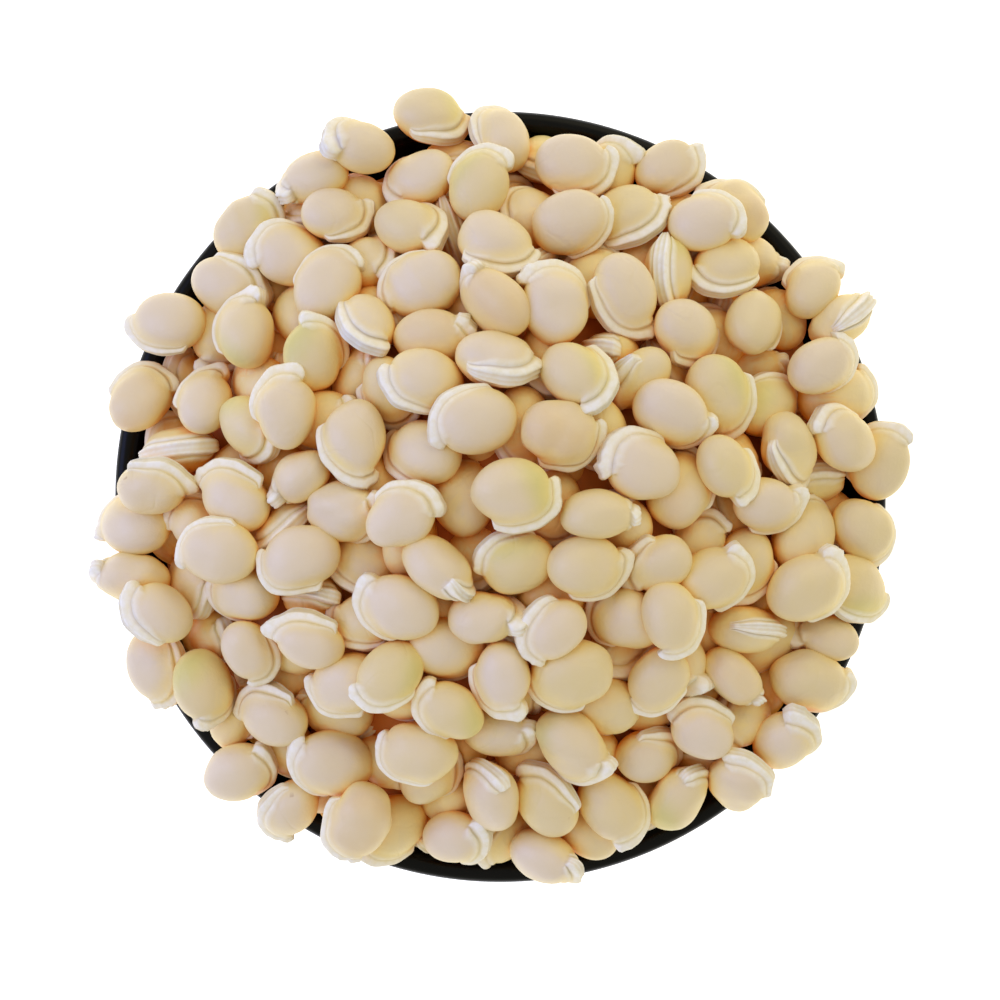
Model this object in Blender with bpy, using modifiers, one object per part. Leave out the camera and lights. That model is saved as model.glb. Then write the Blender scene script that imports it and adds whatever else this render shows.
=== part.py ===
"""A round black dish heaped with dried white beans.

Metres, +Z up, origin under the middle of the dish's foot. The dish is a turned shell. The beans
are one solid: a turned core with the beans that show fused onto it.

Each bean is seated where the heap's outline and the beans already there leave it room. First come
those that stand out, placed by hand, and then smaller ones that fill the hollows between them.
"""
import math

import bmesh
import bpy
import numpy as np

MM = 0.001

# Dish
RIM_RADIUS = 65 * MM
RIM_HEIGHT = 46 * MM
LIP_WIDTH = 3.4 * MM
FOOT_RADIUS = 31 * MM
FOOT_HEIGHT = 3 * MM
FOOT_CHAMFER = 0.6 * MM
FLOOR_HEIGHT = 6 * MM
TURN_STEPS = 48
INNER_RADIUS = RIM_RADIUS - LIP_WIDTH
SPRING_HEIGHT = RIM_HEIGHT - LIP_WIDTH / 2

# Heap: its mean top is a dome that stands higher than the lip
DOME_RISE = 27 * MM
EDGE_RISE = 4.5 * MM
FLANK_POWER = 1.55
CORE_DEPTH = 4.6 * MM
CORE_RADIUS = 58.5 * MM
CORE_GAP = 0.35 * MM

# Bean: length, width over the crest, thickness. A ball with few sides is made a little larger than
# the round bean it stands for, so that it holds as much.
BEAN = np.array([12.6, 10.0, 7.3]) * MM
SIZE_PLAY = 0.04
SIZE_LIMITS = (0.92, 1.08)
BEAN_SIDES = 7
BEAN_RINGS = 4
BALL_SCALE = 1.06
SMOOTH_ANGLE = 55

# Seating: how high a bean's top stands over the dome, how deep two beans may press into each other
# and how far a bean keeps from the dish
SEED = 11
LAID_RISE = 1.0 * MM
TUCKED_RISE = -1.5 * MM
RISE_PLAY = 0.6 * MM
LIFTS = np.arange(0, 5.01, 0.4) * MM
SHIFTS = np.arange(-8, 4.01, 0.4) * MM
FLANK_LEAN = 0.7
BITE = 0.8 * MM
DISH_GAP = 0.7 * MM
SIDE_GAP = 0.5 * MM
BURIED = 13 * MM
LEAST_SHOWN = 6 * MM ** 2

# Play of a bean placed by hand: sideways, and in degrees its turn, roll and pitch
TRIES = 90
PLAY = 0.8 * MM
TURN_PLAY = 6
ROLL_PLAY = 12
PITCH_PLAY = 12
STRAY_WEIGHT = 0.8

# Filling beans
FILL_TRIES = 140
FILL_SIZE = 0.94
FILL_SIZE_PLAY = 0.05
FILL_SIZE_LIMITS = (0.87, 1.12)
FORM_PLAY = 0.03
FORM_LIMITS = (0.93, 1.07)
FILL_RISE_PLAY = 0.8 * MM
FILL_SHIFTS = SHIFTS[:24]
FILL_BITE = 1.2 * MM
FILL_REACH = 60 * MM
BARE_REACH = 56.5 * MM
FILL_MARGIN = 2.5 * MM
FILL_DEPTH = 2.8 * MM
FILL_STRAY = 2.4 * MM
SHUT_RADIUS = 2.2 * MM
LEAST_GAIN = 18 * MM ** 3
ON_EDGE_SHARE = 0.25
ON_EDGE_ROLL = 75

# Where the heap leaves the lip bare: bearing from +X and half the width, in degrees
BARE_ARCS = (
    (80, 14), (56, 4), (43, 5), (24, 2), (-1, 2), (-13, 5), (-32, 2), (-63, 12), (-92, 20),
    (-117, 3), (-129, 2), (-143, 7), (178, 4), (160, 3), (147, 4), (125, 3),
)

# Height field in which the beans are seated
CELL = 0.7 * MM
FIELD_HALF = 77 * MM
WINDOW = int(8 * MM / CELL)
LINE = np.arange(-FIELD_HALF, FIELD_HALF + CELL / 2, CELL)
FIELD_X, FIELD_Y = np.meshgrid(LINE, LINE)
FIELD_RADIUS = np.hypot(FIELD_X, FIELD_Y)

# Beans that stand out, placed by hand: x and y in mm, the way the crested end points, and the roll
# about the long axis: 0 flat with the crest on the left, 90 on edge with the crest up, 180 flat
# with the crest on the right. Those tucked under others come first.
TUCKED_AT_RIM = (
    (-0.5, 58.5, 100, 25), (-30.5, 52, 190, 185), (38.5, 47, 120, 175), (59.5, -5, -45, 0),
    (58, -14, -20, 170), (47, -39.5, 75, 180), (-59.5, -4, 170, 180), (-58.5, -11, 180, -60),
    (-59, -19, 100, 20), (-55.5, -28, -70, 20), (-59, 16.5, 60, 20), (-58.5, 11, 10, 40),
    (-54, 19, 95, 50), (-54.5, 28, 180, 0), (50.5, 34.5, 60, -40), (55.5, 16, 20, 180),
    (61.5, 5.5, 80, -50), (7.5, -59, 0, 210), (-42, -45, 30, 210), (-35, -50.5, 225, 180),
    (-51, -15, -40, 180), (46, 30, 110, -50),
)
TUCKED_ON_CROWN = (
    (-11.5, 7, 160, 0), (-6, 0.5, 95, 10), (-27, 11.5, 0, 190), (6, 45.5, 170, 175),
    (-32.5, 30, 115, 0), (34.5, 26.5, 150, 180), (43, 15, 15, 5), (27.5, 1.5, 60, 180),
    (15, -33, 170, 0), (-0.5, -37.5, -8, 215), (-9.5, -45, 45, 175), (-27, -35.5, 180, 0),
    (-15.5, -31.5, 190, -20), (-39.5, 18.5, 150, 0), (-24, -2.5, 10, 200), (-9.5, 25, 0, 200),
    (1.5, -9.5, 190, 180), (-13.5, 42.5, -30, 0),
)
LAID_AT_RIM = (
    (-55, -18.5, 142, 75), (-54.5, -7, 190, 0), (-44, -7.5, 170, 190), (-48, 15.5, 100, 0),
    (-54.5, 1.5, 10, 50), (-51.5, 8, 5, 115), (-49, 27, 95, 40), (-39.5, 45.5, -10, 210),
    (-23, 56, 180, 180), (-11, 61.5, -5, 180), (-13.5, 53, 185, 180), (-3.5, 50.5, 80, 0),
    (3.5, 56.5, 205, 180), (12, 52.5, 0, 205), (28, 53.5, 20, 180), (33.5, 45, -5, 0),
    (55.5, 29, 35, 75), (52.5, 21, 40, 180), (53.5, 9.5, 150, 200), (55.5, 2, -3, -80),
    (50, -6, 40, 180), (48.5, -15, 20, 180), (50.5, -31, 0, 210), (41.5, -41, -75, 0),
    (29.5, -48.5, 65, 215), (1.5, -55.5, 75, 75), (-7, -55.5, 10, 180), (-18, -55.5, 200, 0),
    (-23.5, -51.5, 250, 180), (-35.5, -43.5, -60, 180), (-43, -39.5, 20, 200),
    (-49, -29.5, -70, -60),
)
LAID_ON_CROWN = (
    (2.5, 0, -10, 180), (-4, 11.5, 200, 175), (-11.5, 16.5, 170, 0), (0, 19.5, 0, 170),
    (12, 18.5, -50, 5), (9, 9, -10, 180), (-14.5, -2.5, 30, 10), (-9, -10, -45, -80),
    (14.5, -2.5, 8, -80), (13, -11, 0, 180), (-14, -16, 165, 0), (-22.5, 8, 265, 180),
    (-1.5, 29, 125, -55), (8, 29, 105, 200), (17, 30, -60, 175), (-12.5, 33.5, 200, 180),
    (-0.5, 38.5, -25, 160), (11.5, 43, 20, 200), (20.5, 5, 170, 180), (26, 11.5, -15, 205),
    (28, 25.5, -5, 180), (26, 34.5, -95, 145), (35.5, 36.5, 205, 20), (41, 30.5, 60, 180),
    (33.5, 15, -75, 0), (45.5, 7, -60, 180), (41.5, -2, -5, 180), (33, -13, 30, 180),
    (28, -18.5, -80, 0), (39.5, -21, -10, 75), (38.5, -28, -50, -75), (32, -36.5, 150, 180),
    (10.5, -27.5, 190, 0), (0.5, -28.5, 265, 180), (-8, -23, -15, 175), (-13, -40, 190, 0),
    (11, -39.5, -45, 210), (-2, -47, 90, -70), (7, -48, 130, 180), (-24, -29.5, 190, 0),
    (-27.5, -43, 160, 0), (-36.5, -34.5, 170, 180), (-31, -10, 195, 0), (-41, -16, 180, -20),
    (-41.5, 0.5, 150, 180), (-39.5, 9, -40, 180), (-34, 13, 90, 0), (-28.5, 21.5, 75, 220),
    (-27.5, 33.5, 75, 0), (-34, 39, 170, 180), (-41, 26, 100, 0), (-43, 34, -20, 0),
)

BLACK = (0.012, 0.012, 0.013, 1)
IVORY = (0.80, 0.63, 0.39, 1)


# Heights of the dish and the heap

def dome(radius):
    """Mean height of the heap's top at a radius."""
    share = np.clip(radius / (RIM_RADIUS - LIP_WIDTH / 2), 0, 1.25)
    return RIM_HEIGHT + EDGE_RISE + (DOME_RISE - EDGE_RISE) * (1 - share ** FLANK_POWER)


def flank_slope(radius):
    """Angle of the dome from level at a radius."""
    step = 0.5 * MM
    return np.arctan((dome(radius - step) - dome(radius + step)) / (2 * step))


def inside_height(radius):
    """Height of the dish's inside: a flat floor, then a quarter of an ellipse up to the lip."""
    share = np.clip((radius - FOOT_RADIUS) / (INNER_RADIUS - FOOT_RADIUS), 0, 1)
    return FLOOR_HEIGHT + (SPRING_HEIGHT - FLOOR_HEIGHT) * (1 - np.sqrt(1 - share ** 2))


def lip_height(radius):
    """Height of the round lip."""
    out = (radius - (RIM_RADIUS - LIP_WIDTH / 2)) / (LIP_WIDTH / 2)
    return SPRING_HEIGHT + LIP_WIDTH / 2 * np.sqrt(np.clip(1 - out ** 2, 0, 1))


def fill_reach(x, y):
    """How far out a filling bean may sit: less where the lip stays bare."""
    bearing = np.degrees(np.arctan2(y, x))
    reach = np.full(np.shape(bearing), FILL_REACH)
    for middle, half in BARE_ARCS:
        off = np.abs((bearing - middle + 180) % 360 - 180)
        reach = np.where(off < half, BARE_REACH, reach)
    return reach


def resting_floor():
    """What a bean may rest on: the dish, kept clear by a small gap upwards and sideways."""
    floor = np.full(FIELD_RADIUS.shape, -1.0)
    for aside in (-SIDE_GAP, 0, SIDE_GAP):
        radius = FIELD_RADIUS + aside
        height = np.where(radius < INNER_RADIUS, inside_height(radius), lip_height(radius))
        floor = np.maximum(floor, np.where(radius > RIM_RADIUS, -1.0, height))
    return floor + DISH_GAP


# Seating the beans

def spin_matrices(x, y, turn, roll, pitch):
    """Rotations of beans: roll about X, pitch about Y, turn about Z, then a lean with the flank."""
    one, nil = np.ones_like(turn), np.zeros_like(turn)

    def about_z(angle):
        c, s = np.cos(angle), np.sin(angle)
        return np.moveaxis(np.array([[c, -s, nil], [s, c, nil], [nil, nil, one]]), -1, 0)

    def about_y(angle):
        c, s = np.cos(angle), np.sin(angle)
        return np.moveaxis(np.array([[c, nil, -s], [nil, one, nil], [s, nil, c]]), -1, 0)

    def about_x(angle):
        c, s = np.cos(angle), np.sin(angle)
        return np.moveaxis(np.array([[one, nil, nil], [nil, c, -s], [nil, s, c]]), -1, 0)

    outward = np.arctan2(y, x)
    lean = -FLANK_LEAN * flank_slope(np.hypot(x, y))
    leaned = about_z(outward) @ about_y(lean) @ about_z(-outward)
    return leaned @ about_z(turn) @ about_y(pitch) @ about_x(roll)


def footprint(x, y, spin, size):
    """Cells under each bean, and how far its underside and top are from its middle there."""
    form = np.einsum("nij,nj,nkj->nik", spin, 4 / size ** 2, spin)
    steps = np.arange(-WINDOW, WINDOW + 1)
    last = len(LINE) - WINDOW - 1
    col = np.clip(np.round((x + FIELD_HALF) / CELL).astype(int), WINDOW, last)
    row = np.clip(np.round((y + FIELD_HALF) / CELL).astype(int), WINDOW, last)
    rows = np.broadcast_to(row[:, None, None] + steps[None, :, None], (len(x), len(steps), len(steps)))
    cols = np.broadcast_to(col[:, None, None] + steps[None, None, :], rows.shape)
    u = LINE[cols] - x[:, None, None]
    v = LINE[rows] - y[:, None, None]
    xx, xy, xz, yy, yz, zz = (form[:, i, j][:, None, None]
                              for i, j in ((0, 0), (0, 1), (0, 2), (1, 1), (1, 2), (2, 2)))
    half = xz * u + yz * v
    square = half * half - zz * (xx * u * u + 2 * xy * u * v + yy * v * v - 1)
    root = np.sqrt(np.maximum(square, 0))
    return rows, cols, square > 0, (-half - root) / zz, (-half + root) / zz


def smooth(field, reach):
    """Mean of a field over a small disc."""
    total = np.zeros_like(field)
    count = 0
    for down in range(-reach, reach + 1):
        for across in range(-reach, reach + 1):
            if down * down + across * across <= reach * reach:
                total += np.roll(field, (down, across), (0, 1))
                count += 1
    return total / count


class Heap:
    """Beans seated one by one, each as near the dome as those already there allow."""

    def __init__(self):
        self.draw = np.random.default_rng(SEED)
        self.floor = resting_floor()
        self.roof = np.full(FIELD_RADIUS.shape, 1.0)
        self.crown = np.full(FIELD_RADIUS.shape, -1.0)
        self.seen = np.where(FIELD_RADIUS < INNER_RADIUS, dome(FIELD_RADIUS) - BURIED, RIM_HEIGHT)
        self.owner = np.full(FIELD_RADIUS.shape, -1)
        self.beans = []

    def seat(self, x, y, turn, roll, pitch, size, rise, shifts, bite, home=None):
        """Try many poses of one bean and keep the best that meets no other by more than a bite.

        Near a home the best is the one that moves least; otherwise it is the one that fills most.
        """
        spin = spin_matrices(x, y, turn, roll, pitch)
        sizes = np.tile(size, (len(x), 1))
        rows, cols, inside, low, top = footprint(x, y, spin, sizes)
        half_height = np.sqrt((spin[:, 2, :] ** 2 * sizes ** 2).sum(1)) / 2
        rest = np.where(inside, self.floor[rows, cols] - low, -1).max(axis=(1, 2))
        goal = np.maximum(dome(np.hypot(x, y)) + rise - half_height, rest)
        over = np.where(inside, self.roof[rows, cols] - top, 1)
        under = np.where(inside, self.crown[rows, cols] - low, -1)
        height = np.full(len(x), np.nan)
        for shift in sorted(shifts, key=abs):
            middle = goal + shift
            z = middle[:, None, None]
            meets = np.minimum(z - over, under - z).max(axis=(1, 2))
            fits = np.isnan(height) & (meets < bite) & (middle >= rest)
            height = np.where(fits, middle, height)
        seated = ~np.isnan(height)
        if not seated.any():
            return None
        height = np.where(seated, height, 0)
        added = np.where(inside, height[:, None, None] + top - self.seen[rows, cols], 0)
        gain = np.maximum(added, 0).sum(axis=(1, 2)) * CELL ** 2
        score = -gain
        if home is not None:
            score = np.abs(height - goal) + STRAY_WEIGHT * np.hypot(x - home[0], y - home[1])
        best = int(np.argmin(np.where(seated, score, np.inf)))
        place = (rows[best], cols[best], inside[best], low[best], top[best])
        return (x[best], y[best], height[best], spin[best], size), place, gain[best]

    def add(self, bean, place):
        """Keep a bean and raise the fields under it."""
        rows, cols, inside, low, top = place
        at = rows[inside], cols[inside]
        height = bean[2] + top[inside]
        self.owner[at] = np.where(height > self.crown[at], len(self.beans), self.owner[at])
        self.roof[at] = np.minimum(self.roof[at], bean[2] + low[inside])
        self.crown[at] = np.maximum(self.crown[at], height)
        self.seen[at] = np.maximum(self.seen[at], self.crown[at])
        self.beans.append(bean)

    def lay(self, rows, rise, shifts):
        """Beans placed by hand, each with a little play."""
        for x, y, turn, roll in rows:
            size = BEAN * np.clip(self.draw.normal(1, SIZE_PLAY), *SIZE_LIMITS)
            play_x, play_y = self.draw.normal(0, PLAY, (2, TRIES))
            turns = np.radians(turn + self.draw.normal(0, TURN_PLAY, TRIES))
            rolls = np.radians(roll + self.draw.normal(0, ROLL_PLAY, TRIES))
            pitches = np.radians(self.draw.normal(0, PITCH_PLAY, TRIES))
            top = rise + self.draw.normal(0, RISE_PLAY)
            found = self.seat(x * MM + play_x, y * MM + play_y, turns, rolls, pitches, size,
                              top, shifts, BITE, home=(x * MM, y * MM))
            if found:
                self.add(found[0], found[1])

    def fill(self):
        """Beans go where the heap is furthest below the dome, until no hollow takes another."""
        shut = FIELD_RADIUS > fill_reach(FIELD_X, FIELD_Y) + FILL_MARGIN
        while True:
            lack = smooth(np.where(FIELD_RADIUS < RIM_RADIUS, dome(FIELD_RADIUS) - self.seen, 0), 2)
            spot = int(np.argmax(np.where(shut, -1, lack)))
            if shut.flat[spot] or lack.flat[spot] < FILL_DEPTH:
                break
            home = FIELD_X.flat[spot], FIELD_Y.flat[spot]
            size = BEAN * FILL_SIZE * np.clip(self.draw.normal(1, FILL_SIZE_PLAY), *FILL_SIZE_LIMITS)
            size = size * np.clip(self.draw.normal(1, FORM_PLAY, 3), *FORM_LIMITS)
            x, y = np.array(home)[:, None] + self.draw.normal(0, FILL_STRAY, (2, FILL_TRIES))
            inward = np.minimum(1, fill_reach(x, y) / np.hypot(x, y))
            turns = self.draw.uniform(0, 2 * np.pi, FILL_TRIES)
            rolls = np.pi * self.draw.integers(0, 2, FILL_TRIES)
            rolls = rolls + np.radians(self.draw.normal(0, 2 * ROLL_PLAY, FILL_TRIES))
            if self.draw.random() < ON_EDGE_SHARE:
                rolls = rolls + np.radians(ON_EDGE_ROLL)
            pitches = np.radians(self.draw.normal(0, 2 * PITCH_PLAY, FILL_TRIES))
            found = self.seat(x * inward, y * inward, turns, rolls, pitches, size,
                              self.draw.normal(0, FILL_RISE_PLAY), FILL_SHIFTS, FILL_BITE)
            if found and found[2] > LEAST_GAIN:
                self.add(found[0], found[1])
            else:
                shut |= np.hypot(FIELD_X - home[0], FIELD_Y - home[1]) < SHUT_RADIUS

    def shown(self):
        """The beans that show from above by more than a speck."""
        cells = np.bincount(self.owner[self.owner >= 0], minlength=len(self.beans))
        return [bean for bean, count in zip(self.beans, cells) if count * CELL ** 2 > LEAST_SHOWN]


def heaped_beans():
    """Every bean that shows, as middle, rotation and size."""
    heap = Heap()
    heap.lay(TUCKED_AT_RIM, TUCKED_RISE, SHIFTS)
    heap.lay(LAID_ON_CROWN, LAID_RISE, SHIFTS)
    heap.lay(LAID_AT_RIM, LAID_RISE, LIFTS)
    heap.lay(TUCKED_ON_CROWN, TUCKED_RISE, SHIFTS)
    heap.fill()
    return heap.shown()


# Modelling

def clear_scene():
    for thing in list(bpy.data.objects):
        bpy.data.objects.remove(thing, do_unlink=True)


def new_collection(name):
    collection = bpy.data.collections.new(name)
    bpy.context.scene.collection.children.link(collection)
    return collection


def new_material(name, colour, roughness):
    material = bpy.data.materials.new(name)
    material.use_nodes = True
    shader = material.node_tree.nodes["Principled BSDF"]
    shader.inputs["Base Color"].default_value = colour
    shader.inputs["Roughness"].default_value = roughness
    shader.inputs["Metallic"].default_value = 0
    material.diffuse_color = colour
    return material


def arc(middle, radii, start, stop, count):
    """Points on an ellipse in the XZ plane, angles in degrees from +X."""
    angles = np.radians(np.linspace(start, stop, count))
    return [(middle[0] + radii[0] * math.cos(a), middle[1] + radii[1] * math.sin(a)) for a in angles]


def turned(name, profile, collection, material):
    """A solid turned about Z from a profile that runs down its outer side."""
    mesh = bpy.data.meshes.new(name)
    points = [(x, 0, z) for x, z in profile]
    mesh.from_pydata(points, [(i, i + 1) for i in range(len(points) - 1)], [])
    thing = bpy.data.objects.new(name, mesh)
    collection.objects.link(thing)
    screw = thing.modifiers.new("Turn", "SCREW")
    screw.steps = TURN_STEPS
    screw.render_steps = TURN_STEPS
    screw.use_merge_vertices = True
    screw.merge_threshold = 0.0001
    mesh.materials.append(material)
    return thing


def dish_profile():
    """From the middle of the inside over the lip and down the outside to the foot."""
    inner_wall = arc((FOOT_RADIUS, SPRING_HEIGHT),
                     (INNER_RADIUS - FOOT_RADIUS, SPRING_HEIGHT - FLOOR_HEIGHT), -90, 0, 7)
    lip = arc((RIM_RADIUS - LIP_WIDTH / 2, SPRING_HEIGHT), (LIP_WIDTH / 2, LIP_WIDTH / 2), 180, 0, 6)
    outer_wall = arc((FOOT_RADIUS, SPRING_HEIGHT),
                     (RIM_RADIUS - FOOT_RADIUS, SPRING_HEIGHT - FOOT_HEIGHT), 0, -90, 7)
    foot = [(FOOT_RADIUS - FOOT_CHAMFER, 0), (0, 0)]
    return [(0, FLOOR_HEIGHT)] + inner_wall[:-1] + lip + outer_wall[1:] + foot


def core_profile():
    """From the middle of the top down the dome, in over the wall's curve and to the bottom."""
    top = [(radius, dome(radius) - CORE_DEPTH) for radius in np.linspace(0, CORE_RADIUS, 7)]
    wall = arc((FOOT_RADIUS, SPRING_HEIGHT),
               (INNER_RADIUS - FOOT_RADIUS - CORE_GAP, SPRING_HEIGHT - FLOOR_HEIGHT - CORE_GAP),
               -15, -90, 6)
    return top + wall + [(0, FLOOR_HEIGHT + CORE_GAP)]


def bean_object(index, bean, collection):
    """One bean as a ball with few sides, flattened, turned and put in its place."""
    x, y, z, spin, size = bean
    mesh = bpy.data.meshes.new("bean_%03d" % index)
    shape = bmesh.new()
    bmesh.ops.create_uvsphere(shape, u_segments=BEAN_SIDES, v_segments=BEAN_RINGS, radius=0.5)
    for vert in shape.verts:
        vert.co = spin @ (np.array(vert.co) * BALL_SCALE * size) + np.array([x, y, z])
    shape.to_mesh(mesh)
    shape.free()
    thing = bpy.data.objects.new(mesh.name, mesh)
    collection.objects.link(thing)
    return thing


def fuse(core, loose):
    """Join the loose beans to the core, and remove them as objects of their own."""
    join = core.modifiers.new("Join", "BOOLEAN")
    join.operation = "UNION"
    join.operand_type = "COLLECTION"
    join.collection = loose
    join.solver = "EXACT"
    evaluated = core.evaluated_get(bpy.context.evaluated_depsgraph_get())
    mesh = bpy.data.meshes.new_from_object(evaluated)
    core.modifiers.clear()
    core.data = mesh
    for thing in list(loose.objects):
        bpy.data.objects.remove(thing, do_unlink=True)
    bpy.data.collections.remove(loose)


def faces_joined_to(start):
    """All faces that share edges with a face, step by step."""
    found = {start}
    front = [start]
    while front:
        face = front.pop()
        for edge in face.edges:
            for other in edge.link_faces:
                if other not in found:
                    found.add(other)
                    front.append(other)
    return found


def keep_largest_body(mesh):
    """Drop loose scraps, and fill any sealed hollow by dropping its walls."""
    shape = bmesh.new()
    shape.from_mesh(mesh)
    left = set(shape.faces)
    bodies = []
    while left:
        body = faces_joined_to(next(iter(left)))
        left -= body
        bodies.append(body)
    largest = max(bodies, key=lambda body: sum(face.calc_area() for face in body))
    scraps = [face for face in shape.faces if face not in largest]
    bmesh.ops.delete(shape, geom=scraps, context="FACES")
    shape.to_mesh(mesh)
    shape.free()


def main():
    clear_scene()
    parts = new_collection("bowl_of_beans")
    black = new_material("black_dish", BLACK, 0.35)
    ivory = new_material("dried_beans", IVORY, 0.55)
    turned("bowl", dish_profile(), parts, black)
    heap = turned("beans", core_profile(), parts, ivory)
    loose = new_collection("loose_beans")
    for index, bean in enumerate(heaped_beans()):
        bean_object(index, bean, loose)
    fuse(heap, loose)
    keep_largest_body(heap.data)
    heap.data.shade_smooth()
    heap.data.set_sharp_from_angle(angle=math.radians(SMOOTH_ANGLE))


main()
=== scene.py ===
import math

import bpy
import numpy as np
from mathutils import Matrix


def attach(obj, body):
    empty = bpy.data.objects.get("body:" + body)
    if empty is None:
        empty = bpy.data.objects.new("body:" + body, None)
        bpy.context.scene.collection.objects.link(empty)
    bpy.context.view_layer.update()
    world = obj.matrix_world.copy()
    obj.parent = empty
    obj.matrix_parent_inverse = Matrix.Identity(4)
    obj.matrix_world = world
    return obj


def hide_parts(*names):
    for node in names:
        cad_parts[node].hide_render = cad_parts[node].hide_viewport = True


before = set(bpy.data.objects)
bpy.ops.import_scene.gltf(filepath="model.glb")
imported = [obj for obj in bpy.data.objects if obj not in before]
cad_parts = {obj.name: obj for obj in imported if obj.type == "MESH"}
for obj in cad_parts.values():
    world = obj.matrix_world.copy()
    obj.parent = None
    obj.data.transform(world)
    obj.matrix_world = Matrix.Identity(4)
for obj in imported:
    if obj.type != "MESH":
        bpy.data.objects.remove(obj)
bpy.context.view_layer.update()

MM = 0.001

# Dish
RIM_RADIUS = 65 * MM
RIM_HEIGHT = 46 * MM
LIP_WIDTH = 3.4 * MM
FOOT_RADIUS = 31 * MM
FOOT_HEIGHT = 3 * MM
FLOOR_HEIGHT = 6 * MM
INNER_RADIUS = RIM_RADIUS - LIP_WIDTH
SPRING_HEIGHT = RIM_HEIGHT - LIP_WIDTH / 2
FOOT_FILLET = 0.8 * MM
# Where the outside meets the foot, in degrees on its ellipse, and points along each stretch
OUTSIDE_STOP = -86
INSIDE_POINTS = 30
LIP_POINTS = 17
OUTSIDE_POINTS = 34
FILLET_POINTS = 6
DISH_STEPS = 240

# Heap: its mean top is a dome that stands higher than the lip
DOME_RISE = 27 * MM
EDGE_RISE = 4.5 * MM
FLANK_POWER = 1.55
DOME_END = 1.25
CORE_DEPTH = 11 * MM
CORE_RADIUS = 58 * MM
CORE_GAP = 1 * MM
CORE_WALL_START = -25
CORE_TOP_POINTS = 40
CORE_WALL_POINTS = 14
CORE_STEPS = 96

# Bean: length, width over the crest, thickness
BEAN = np.array([12.6, 10.0, 7.3]) * MM
SIZE_PLAY = 0.04
SIZE_LIMITS = (0.92, 1.08)

# Seating: how high a bean's top stands over the dome, how deep two beans may press into each other
# and how far a bean keeps from the dish
SEED = 11
LAID_RISE = 1.0 * MM
TUCKED_RISE = -1.5 * MM
RISE_PLAY = 0.6 * MM
LIFTS = np.arange(0, 5.01, 0.4) * MM
SHIFTS = np.arange(-8, 4.01, 0.4) * MM
FLANK_LEAN = 0.7
BITE = 0.8 * MM
DISH_GAP = 0.7 * MM
SIDE_GAP = 0.5 * MM
BURIED = 13 * MM
LEAST_SHOWN = 6 * MM ** 2

# Play of a listed bean: sideways, and in degrees its turn, roll and pitch
TRIES = 90
PLAY = 0.8 * MM
TURN_PLAY = 6
ROLL_PLAY = 12
PITCH_PLAY = 12
STRAY_WEIGHT = 0.8

# Filling beans
FILL_TRIES = 140
FILL_SIZE = 0.94
FILL_SIZE_PLAY = 0.05
FILL_SIZE_LIMITS = (0.87, 1.12)
FORM_PLAY = 0.03
FORM_LIMITS = (0.93, 1.07)
FILL_RISE_PLAY = 0.8 * MM
FILL_SHIFTS = SHIFTS[:24]
FILL_BITE = 1.2 * MM
FILL_REACH = 60 * MM
BARE_REACH = 56.5 * MM
FILL_MARGIN = 2.5 * MM
FILL_DEPTH = 2.8 * MM
FILL_STRAY = 2.4 * MM
SHUT_RADIUS = 2.2 * MM
LEAST_GAIN = 18 * MM ** 3
ON_EDGE_SHARE = 0.25
ON_EDGE_ROLL = 75

# Beans that fill the last hollows of the top layer, deeper in among the others
LAST_DEPTH = 2.3 * MM
LAST_BITE = 2.2 * MM
LAST_GAIN = 9 * MM ** 3
LAST_RISE = -1.2 * MM

# Beans of the layer below, which show only through the gaps
BELOW_STEP = 8.2 * MM
BELOW_REACH = 57 * MM
BELOW_RISE = -6.5 * MM
BELOW_SHIFTS = np.arange(-3, 3.01, 0.5) * MM
BELOW_BITE = 2.4 * MM
BELOW_TRIES = 50

# Where the heap leaves the lip bare: bearing from +X and half the width, in degrees
BARE_ARCS = (
    (80, 14), (56, 4), (43, 5), (24, 2), (-1, 2), (-13, 5), (-32, 2), (-63, 12), (-92, 20),
    (-117, 3), (-129, 2), (-143, 7), (178, 4), (160, 3), (147, 4), (125, 3),
)

# Height field in which the beans are seated, and how many cells a bean reaches each way
CELL = 0.7 * MM
FIELD_HALF = 77 * MM
BEAN_CELLS = int(8 * MM / CELL)
SMOOTHED_CELLS = 2
LINE = np.arange(-FIELD_HALF, FIELD_HALF + CELL / 2, CELL)
FIELD_X, FIELD_Y = np.meshgrid(LINE, LINE)
FIELD_RADIUS = np.hypot(FIELD_X, FIELD_Y)

# Beans that stand out, listed one by one: x and y in mm, the way the crested end points, and the roll
# about the long axis: 0 flat with the crest on the left, 90 on edge with the crest up, 180 flat
# with the crest on the right. Those tucked under others come first.
TUCKED_AT_RIM = (
    (-0.5, 58.5, 100, 25), (-30.5, 52, 190, 185), (38.5, 47, 120, 175), (59.5, -5, -45, 0),
    (58, -14, -20, 170), (47, -39.5, 75, 180), (-59.5, -4, 170, 180), (-58.5, -11, 180, -60),
    (-59, -19, 100, 20), (-55.5, -28, -70, 20), (-59, 16.5, 60, 20), (-58.5, 11, 10, 40),
    (-54, 19, 95, 50), (-54.5, 28, 180, 0), (50.5, 34.5, 60, -40), (55.5, 16, 20, 180),
    (61.5, 5.5, 80, -50), (7.5, -59, 0, 210), (-42, -45, 30, 210), (-35, -50.5, 225, 180),
    (-51, -15, -40, 180), (46, 30, 110, -50),
)
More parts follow.
